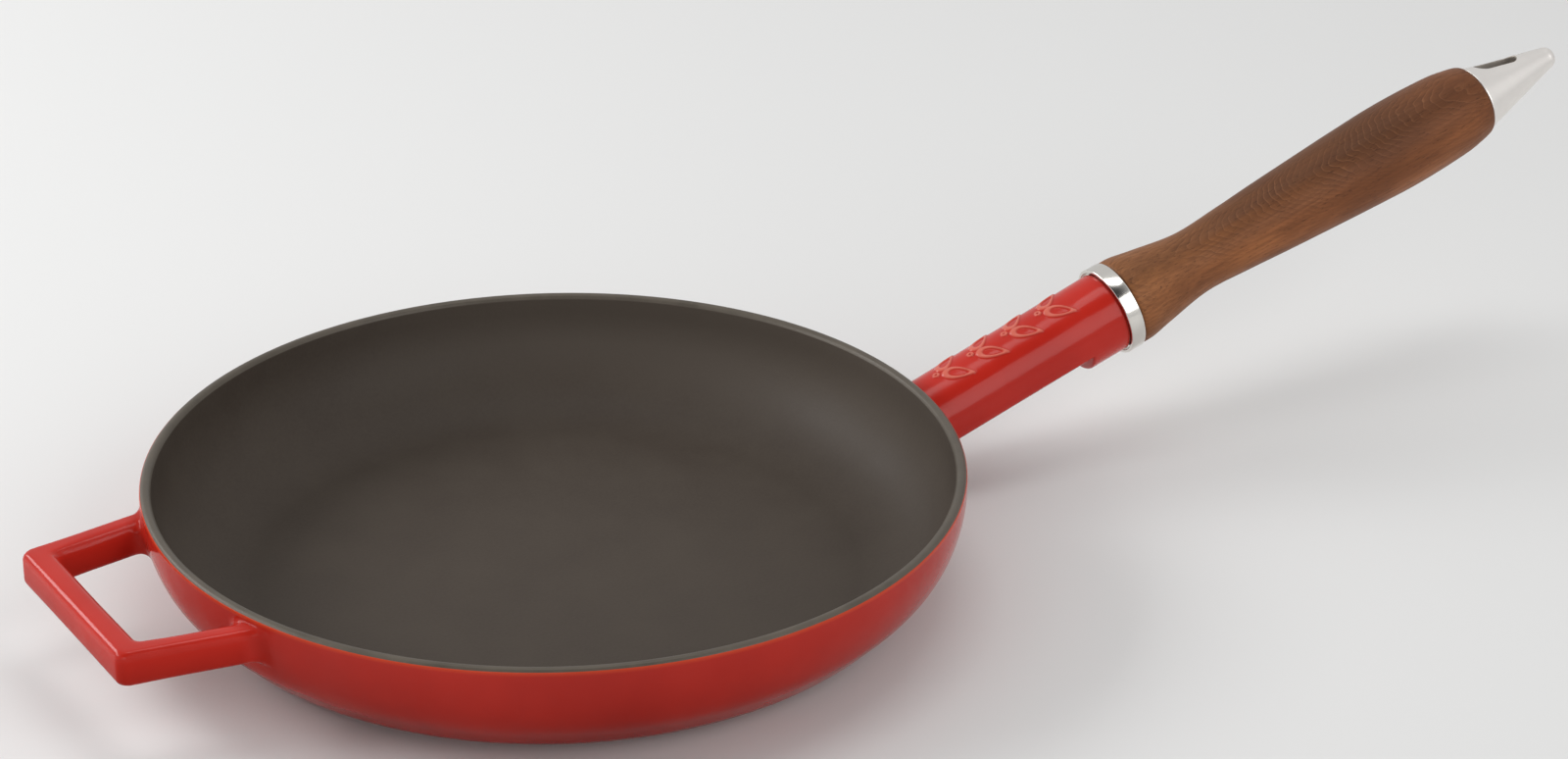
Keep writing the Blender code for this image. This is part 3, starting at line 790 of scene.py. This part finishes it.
def stub_ring(along_of):
    """One ring of the channel stub, in the frame. along_of says how far along each of its points lies."""
    made = []

    def spot(side, up):
        along = along_of(len(made))
        made.append((along, side, up - stub_drop(along)))

    for angle in OUTSIDE_ANGLES:
        along = along_of(len(made))
        radius = stub_radius(along)
        sunk = 0.0001 * held((along - BOSS_START - 0.0012) / 0.0015)  # dips under the boss
        radius += relief(along, radius * angle) - sunk
        spot(radius * math.sin(angle), radius * math.cos(angle))
    edge_height = CHANNEL_EDGE_ROUND - CHANNEL_EDGE_DROP
    outer = stub_radius(0) * math.cos(math.asin(-edge_height / stub_radius(0)))
    middle, half = (outer + CHANNEL_RADIUS) / 2, (outer - CHANNEL_RADIUS) / 2
    edge = [(middle + half * math.cos(b), edge_height - CHANNEL_EDGE_ROUND * math.sin(b))
            for b in even(0, math.pi, 8)[1:]]
    for side, up in edge:
        spot(side, up)
    for angle in even(0, math.pi, 20):
        spot(CHANNEL_RADIUS * math.cos(angle), CHANNEL_RADIUS * math.sin(angle))
    for side, up in reversed(edge):
        spot(-side, up)
    return [HANDLE @ Vector(p) for p in made]


def add_channel():
    """The stub's channel, from the wall to just inside the boss."""
    start, end = 0.0150, BOSS_START + 0.0030
    first = stub_ring(lambda i: start)
    count = len(first)
    tangents = [first[(i + 1) % count] - first[i - 1] for i in range(count)]
    normals = [tangent.cross(HANDLE_AXIS).normalized() for tangent in tangents]
    top = len(OUTSIDE_ANGLES) // 2
    if (first[top] - HANDLE @ Vector((start, 0, 0))).dot(normals[top]) < 0:
        normals = [-n for n in normals]
    rings = root_rings(first, normals, -HANDLE_AXIS, [STUB_FILLET] * count, STUB_ROOT_X)[::-1]
    inverse = HANDLE.inverted()
    last_root = [(inverse @ p).x for p in rings[-1]]
    for t in even(0, 1, 12)[1:]:
        rings.append(stub_ring(lambda i: last_root[i] * (1 - t) + start * t))
    steps = int((end - start) / 0.00033)  # close enough for the ornament's lines
    for along in even(start, end, steps)[1:]:
        rings.append(stub_ring(lambda i: along))
    return add_piece("stub_channel", sum(rings, []), tube_faces(len(rings), count), [RED])


def add_boss():
    """The drilled end of the stub."""
    under = 0.00002  # just inside the channel's surface, which it continues
    edge, inner_chamfer, chamfer = 0.0010, 0.0004, 0.0005

    def dropped(along, side, up):
        return (along, side, up - stub_drop(along))

    front = BOSS_START + edge
    back = STUB_END - STUB_END_ROUND
    outline = [(BOSS_START, BORE_RADIUS + inner_chamfer), (BOSS_START, stub_radius(front) - edge)]
    outline += [(front - edge * math.cos(a), stub_radius(front) - under - edge * (1 - math.sin(a)))
                for a in even(0, math.pi / 2, 6)[1:]]
    outline += [(along, stub_radius(along) - under) for along in even(front, back, 8)[1:-1]]
    outline += arc((back, stub_radius(back) - under - STUB_END_ROUND), STUB_END_ROUND, 90, 0, 8)
    outline += [(STUB_END, BORE_RADIUS + chamfer), (STUB_END - chamfer, BORE_RADIUS)]
    outline += [(BOSS_START + inner_chamfer, BORE_RADIUS)]
    return lathe("stub_boss", outline, [RED], 96, HANDLE, shape=dropped)


def add_casting():
    """The whole casting: bowl, helper loop and stub, joined into one closed body."""
    pan = add_bowl()
    channel = add_channel()
    combine(channel, add_wall_core(), "DIFFERENCE")
    combine(channel, add_boss(), "UNION")
    loop = add_helper_loop()
    combine(loop, add_wall_core(), "DIFFERENCE")
    combine(pan, loop, "UNION")
    combine(pan, channel, "UNION")
    shade(pan.data)
    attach(pan, "skillet")
    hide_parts("pan_casting")


# ---- pieces on the handle


def span(node):
    """How far a CAD node reaches along the handle."""
    places = [(Vector(v.co) - HANDLE_START).dot(HANDLE_AXIS) for v in frame["nodes"][node].data.vertices]
    return min(places), max(places)


def girth(node):
    """A CAD node's largest and smallest distance from the handle's centre line."""
    inverse = HANDLE.inverted()
    places = [inverse @ Vector(v.co) for v in frame["nodes"][node].data.vertices]
    sizes = [math.hypot(p.y, p.z) for p in places]
    return max(sizes), min(sizes)


def add_collar():
    """The polished ring between stub and grip, with rounded edges and a lip over the stub's end."""
    outer, start, web, end, edge = 0.0169, 0.0901, 0.0913, 0.0960, 0.00045
    lip = outer - 0.0013
    outline = [(web, BORE_RADIUS), (web, lip), (start + edge * 0.5, lip), (start, lip + edge * 0.5)]
    outline += arc((start + edge, outer - edge), edge, 180, 90, 5)
    outline += arc((end - edge, outer - edge), edge, 90, 0, 5)
    outline += [(end, BORE_RADIUS)]
    piece = lathe("collar_ring", outline, [POLISHED], 128, HANDLE)
    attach(piece, "skillet")
    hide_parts("grip_collar")


def smooth_curve(points, steps):
    """Points on a curve that runs smoothly through the given ones."""
    made = []
    last = len(points) - 1
    for i in range(last):
        before, start = Vector(points[max(i - 1, 0)]), Vector(points[i])
        end, after = Vector(points[i + 1]), Vector(points[min(i + 2, last)])
        leave, arrive = (end - before) / 2, (after - start) / 2
        for t in even(0, 1, steps)[:-1]:
            spot = (2 * t**3 - 3 * t**2 + 1) * start + (t**3 - 2 * t**2 + t) * leave
            spot += (3 * t**2 - 2 * t**3) * end + (t**3 - t**2) * arrive
            made.append(tuple(spot))
    made.append(tuple(points[-1]))
    return made


# The grip's turned outline as (along, radius): a round shoulder, a neck, a full belly and a rounded end
GRIP_SHAPE = (
    (0.0978, 0.0165), (0.1020, 0.0163), (0.1110, 0.0147), (0.1290, 0.0121),
    (0.1480, 0.0129), (0.1680, 0.0142), (0.2040, 0.01615), (0.2250, 0.01685),
    (0.2460, 0.0162), (0.2550, 0.0150), (0.2590, 0.0141),
)
GRIP_START, GRIP_END = 0.0963, 0.2602
SEAT_DEPTH, SEAT_RADIUS = 0.0017, 0.0107
SHANK_RADIUS, SHANK_START = 0.0070, 0.2400


def add_grip():
    """The turned grip with its bore and the seat for the cap's washer."""
    bore, mouth, edge, gap = 0.0046, 0.0152, 0.0012, 0.0003
    outline = [(GRIP_START, bore), (GRIP_START, mouth)]
    outline += arc((GRIP_START + edge, mouth), edge, 180, 110, 5)[1:]
    outline += smooth_curve(GRIP_SHAPE, 14)
    outline += [(GRIP_END - 0.0003, 0.01365), (GRIP_END, 0.0131), (GRIP_END, SEAT_RADIUS)]
    seat = GRIP_END - SEAT_DEPTH
    outline += [(seat, SEAT_RADIUS), (seat, SHANK_RADIUS + gap), (SHANK_START - gap, SHANK_RADIUS + gap)]
    outline += [(SHANK_START - gap, bore)]
    piece = lathe("wooden_grip", outline, [WOOD], 144, HANDLE)
    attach(piece, "skillet")
    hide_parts("wood_grip")


# End cap
CAP_TURN = Matrix.Rotation(math.radians(-13), 4, "X")  # the cap and its slot lean to the handle's left
CAP_START, CAP_TAPER_END, CAP_END = 0.2605, 0.2950, 0.2987
CAP_ROOT_RADIUS, CAP_TIP_RADIUS = 0.0130, 0.0043
CAP_SCOOP, CAP_SCOOP_FADE = 0.0007, 3  # how deep the hollow on top is, and how fast it fades to the tip
SHANK_BORE_END = 0.2575
SLOT_START, SLOT_END, SLOT_WIDTH = 0.2660, 0.2830, 0.0070
SLOT_ROUND = 0.0005


def cap_radius(along):
    """The cap's radius at a distance along the handle, before its top is hollowed."""
    if along < CAP_TAPER_END:
        share = (along - CAP_START) / (CAP_TAPER_END - CAP_START)
        return CAP_ROOT_RADIUS + (CAP_TIP_RADIUS - CAP_ROOT_RADIUS) * share
    share = (along - CAP_TAPER_END) / (CAP_END - CAP_TAPER_END)
    return CAP_TIP_RADIUS * math.sqrt(max(0.0, 1 - share * share))


def cap_flatten(along, side, up):
    """Flattens the upper half of the cap into its shallow hollow."""
    radius = math.hypot(side, up)
    if up <= 0 or along <= CAP_START:
        return along, side, up
    share = (along - CAP_START) / (CAP_END - CAP_START)
    deepest = 1 / (CAP_SCOOP_FADE + 1)
    hollow = share * (1 - share) ** CAP_SCOOP_FADE / (deepest * (1 - deepest) ** CAP_SCOOP_FADE)
    return along, side, up * (1 - CAP_SCOOP * hollow / max(radius, 0.002))


def slot_cutter():
    """The slot's shape, opening out in a small rounding where it meets the cap's surface."""
    half = SLOT_WIDTH / 2
    lean = math.radians(62)  # how far the rounding turns before it runs out of the cap
    flare, lip = 0.0030, 0.53 * SLOT_ROUND

    def stadium(grow):
        right = arc((SLOT_END - half, 0), half + grow, -90, 90, 16)
        return right + arc((SLOT_START + half, 0), half + grow, 90, 270, 16)

    def surface(along, side, sign):
        along = min(max(along, CAP_START), CAP_TAPER_END)
        up = math.sqrt(max(cap_radius(along) ** 2 - side * side, 1e-8))
        return cap_flatten(along, side, up)[2] if sign > 0 else -up

    rings = []
    for sign in (-1, 1):
        rows = []
        for a in even(0, lean, 5):
            grow, under = SLOT_ROUND * (1 - math.cos(a)), SLOT_ROUND * (1 - math.sin(a))
            rows.append([(u, v, surface(u, v, sign) - sign * under) for u, v in stadium(grow)])
        flared = stadium(lip + flare * math.sin(lean))
        rows.append([(u, v, surface(u, v, sign) + sign * flare * math.cos(lean)) for u, v in flared])
        rows.append([(u, v, sign * 1.5 * CAP_ROOT_RADIUS) for u, v in flared])
        rings += rows[::-1] if sign < 0 else rows
    points = [HANDLE @ CAP_TURN @ Vector(p) for ring in rings for p in ring]
    faces = tube_faces(len(rings), len(flared))
    return add_piece("slot_cutter", points, faces, [SATIN, SLOT_WALL], [1] * len(faces))


def add_cap():
    """The tapered end cap: threaded shank, shallow hollow on top, hanging slot."""
    edge, chamfer, drill_point, step = 0.0004, 0.0006, 0.0018, 0.0001
    outline = [(SHANK_BORE_END + drill_point, 0.0), (SHANK_BORE_END, BORE_RADIUS), (SHANK_START, BORE_RADIUS)]
    outline += [(SHANK_START, SHANK_RADIUS - chamfer), (SHANK_START + chamfer, SHANK_RADIUS)]
    outline += [(CAP_START, SHANK_RADIUS), (CAP_START, CAP_ROOT_RADIUS - edge)]
    outline += arc((CAP_START + edge, CAP_ROOT_RADIUS - edge - step), edge, 180, 90, 4)[1:]
    outline += [(along, cap_radius(along)) for along in even(CAP_START + edge, CAP_TAPER_END, 48)[1:]]
    tip = CAP_END - CAP_TAPER_END
    outline += [(CAP_TAPER_END + tip * math.sin(a), CAP_TIP_RADIUS * math.cos(a))
                for a in even(0, math.pi / 2, 12)[1:-1]]
    outline.append((CAP_END, 0.0))
    piece = lathe("end_cap_slotted", outline, [SATIN, SLOT_WALL], 128, HANDLE @ CAP_TURN, shape=cap_flatten)
    combine(piece, slot_cutter(), "DIFFERENCE")
    shade(piece.data, 30)
    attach(piece, "end_cap")
    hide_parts("end_cap")


def add_rod():
    """The M8 tie rod, threaded at both ends, with chamfered tips."""
    pitch, core, full = 0.00125, 0.00339, 0.0040
    start, end, chamfer = 0.0585, 0.2560, 0.0008
    near_end, far_start, run_out = 0.0735, 0.2370, 0.0020
    rows_per_turn, segments = 8, 36
    spots = []
    for low, high in ((start, near_end), (far_start, end)):
        spots += list(np.linspace(low, high, int((high - low) / pitch * rows_per_turn)))
    points = []
    for along in spots:
        tip = min(along - start, end - along)
        smooth = held((along - near_end + run_out) / run_out) * held((far_start + run_out - along) / run_out)
        for j in range(segments):
            angle = math.tau * j / segments
            phase = (along / pitch - j / segments) % 1.0
            depth = held((1 - abs(2 * phase - 1)) * 1.3 - 0.15)  # flanks with a narrow flat on crest and root
            radius = full - (full - core) * depth
            radius = min(radius, full - chamfer + tip) if tip < chamfer else radius
            radius += (full - radius) * smooth
            points.append(on_handle(along, radius, angle))
    piece = add_piece("tie_rod_threaded", points, tube_faces(len(spots), segments), [ZINC], sharp=50)
    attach(piece, "skillet")
    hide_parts("tie_rod")


def add_nut():
    """The hexagon nut, its corners chamfered on both faces."""
    start, end = span("rod_nut")
    flat_radius, chamfer = 0.0065, 0.0006
    face = flat_radius * 0.96
    slope = math.tan(math.radians(30))
    segments = 72
    points = []

    def ring(along_of, radius_of):
        for angle in [math.tau * j / segments for j in range(segments)]:
            radius = radius_of(angle)
            points.append(on_handle(along_of(radius), radius, angle))

    def hexagon(angle):
        turned = (angle + math.pi / 6) % (math.pi / 3) - math.pi / 6
        return flat_radius / math.cos(math.pi / 6 - abs(turned))

    ring(lambda r: start + chamfer, lambda a: BORE_RADIUS)
    ring(lambda r: start, lambda a: BORE_RADIUS + chamfer)
    ring(lambda r: start, lambda a: face)
    ring(lambda r: start + (r - face) * slope, hexagon)
    ring(lambda r: end - (r - face) * slope, hexagon)
    ring(lambda r: end, lambda a: face)
    ring(lambda r: end, lambda a: BORE_RADIUS + chamfer)
    ring(lambda r: end - chamfer, lambda a: BORE_RADIUS)
    piece = add_piece("hexagon_nut", points, grid_faces(8, segments, wrap_rows=True), [ZINC], sharp=20)
    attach(piece, "skillet")
    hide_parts("rod_nut")


def add_washer(name, node, body):
    """A flat washer with slightly rounded edges."""
    low, high = span(node)
    radius, bore = girth(node)
    edge = 0.00025
    outline = [(low + edge, bore), (low, bore + edge)]
    outline += arc((low + edge, radius - edge), edge, 180, 90, 3)
    outline += arc((high - edge, radius - edge), edge, 90, 0, 3)
    outline += [(high, bore + edge), (high - edge, bore)]
    piece = lathe(name, outline, [ZINC], 96, HANDLE)
    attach(piece, body)
    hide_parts(node)


def add_spring_washer():
    """The split ring under the nut, its ends a little apart."""
    low, high = span("spring_washer")
    radius, bore = girth("spring_washer")
    rise, edge, split = 0.0004, 0.0002, math.radians(18)
    thick = high - low - rise
    steps = 90
    section = [(0, bore + edge), (0, radius - edge), (edge, radius), (thick - edge, radius)]
    section += [(thick, radius - edge), (thick, bore + edge), (thick - edge, bore), (edge, bore)]
    points = []
    for i in range(steps + 1):
        angle = split / 2 + (math.tau - split) * i / steps
        shift = low + rise * i / steps
        points += [on_handle(shift + u, r, angle) for u, r in section]
    piece = add_piece("split_washer", points, tube_faces(steps + 1, len(section)), [ZINC])
    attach(piece, "skillet")
    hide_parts("spring_washer")


def add_dowel():
    """The dowel that stops the grip turning, with chamfered ends."""
    low, high = span("grip_dowel")
    radius, edge, below = 0.0015, 0.0004, 0.0090
    outline = [(low, 0), (low, radius - edge), (low + edge, radius), (high - edge, radius)]
    outline += [(high, radius - edge), (high, 0)]
    piece = lathe("locking_dowel", outline, [ZINC], 32, HANDLE @ Matrix.Translation((0, 0, -below)))
    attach(piece, "skillet")
    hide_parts("grip_dowel")


# ---- stage


DARK_PATCH = Vector((-0.267, -0.458, 0.848))  # the direction of the surround's darker patch


def add_floor():
    """A plain pale floor, large enough to fill every view."""
    pale = (0.74, 0.74, 0.735, 1.0)
    half = 6.0
    corners = [(-half, -half, 0), (half, -half, 0), (half, half, 0), (-half, half, 0)]
    mesh = bpy.data.meshes.new("floor")
    mesh.from_pydata(corners, [], [(0, 1, 2, 3)])
    mesh.materials.append(Nodes("pale_floor").set(Base_Color=pale, Roughness=0.7, Specular_IOR_Level=0.2))
    floor = bpy.data.objects.new("floor", mesh)
    floor.location.z = -0.00005  # just clear of the pan's foot
    bpy.context.scene.collection.objects.link(floor)


def add_light(name, place, target, size, power):
    """A soft rectangular lamp aimed at a point."""
    lamp = bpy.data.lights.new(name, "AREA")
    lamp.shape = "RECTANGLE"
    lamp.size, lamp.size_y = size
    lamp.energy = power
    made = bpy.data.objects.new(name, lamp)
    made.location = place
    made.rotation_mode = "QUATERNION"
    made.rotation_quaternion = (Vector(target) - Vector(place)).to_track_quat("-Z", "Y")
    bpy.context.scene.collection.objects.link(made)


def add_world():
    """A bright surround with a darker patch high up in front, which gives the metal something to reflect."""
    world = bpy.data.worlds.new("studio")
    world.use_nodes = True
    tree = world.node_tree
    background = tree.nodes["Background"]
    background.inputs["Color"].default_value = (1.0, 1.0, 1.0, 1.0)
    direction = tree.nodes.new("ShaderNodeTexCoord")
    facing = tree.nodes.new("ShaderNodeVectorMath")
    facing.operation = "DOT_PRODUCT"
    facing.inputs[1].default_value = DARK_PATCH
    fade = tree.nodes.new("ShaderNodeMapRange")
    for key, number in (("From Min", 0.78), ("From Max", 0.94), ("To Min", 0.66), ("To Max", 0.03)):
        fade.inputs[key].default_value = number
    tree.links.new(direction.outputs["Generated"], facing.inputs[0])
    tree.links.new(facing.outputs["Value"], fade.inputs["Value"])
    tree.links.new(fade.outputs["Result"], background.inputs["Strength"])
    bpy.context.scene.world = world


def add_lights():
    """Soft studio light: wide lamps to the left and in front, a weak one overhead and a weak fill."""
    add_light("left", (-1.05, 0.98, 0.85), (0.02, 0, 0.02), (1.60, 0.60), 18.5)
    add_light("overhead", (0.25, 0.15, 1.50), (0.10, 0, 0.02), (0.90, 0.40), 3.5)
    add_light("front", (0.85, -2.00, 1.30), (0.15, 0, 0.05), (1.30, 1.70), 16)
    add_light("fill", (-1.30, -1.50, 0.80), (0.05, 0.05, 0.03), (1.20, 0.80), 4)


def add_camera():
    """A view from above through a long lens, with the handle pointing up to the right."""
    lens = bpy.data.cameras.new("camera")
    lens.sensor_width = 36.0
    lens.lens = 107.93
    camera = bpy.data.objects.new("camera", lens)
    camera.location = (-0.65302, -1.27276, 0.77732)
    camera.rotation_euler = (math.radians(63.88), 0, math.radians(-30.3))
    bpy.context.scene.collection.objects.link(camera)
    bpy.context.scene.camera = camera
    bpy.context.scene.view_settings.view_transform = "Standard"


add_casting()
add_collar()
add_grip()
add_cap()
add_rod()
add_nut()
add_washer("plain_washer", "flat_washer", "skillet")
add_washer("cap_seat_washer", "cap_washer", "cap_washer")
add_spring_washer()
add_dowel()
add_floor()
add_world()
add_lights()
add_camera()
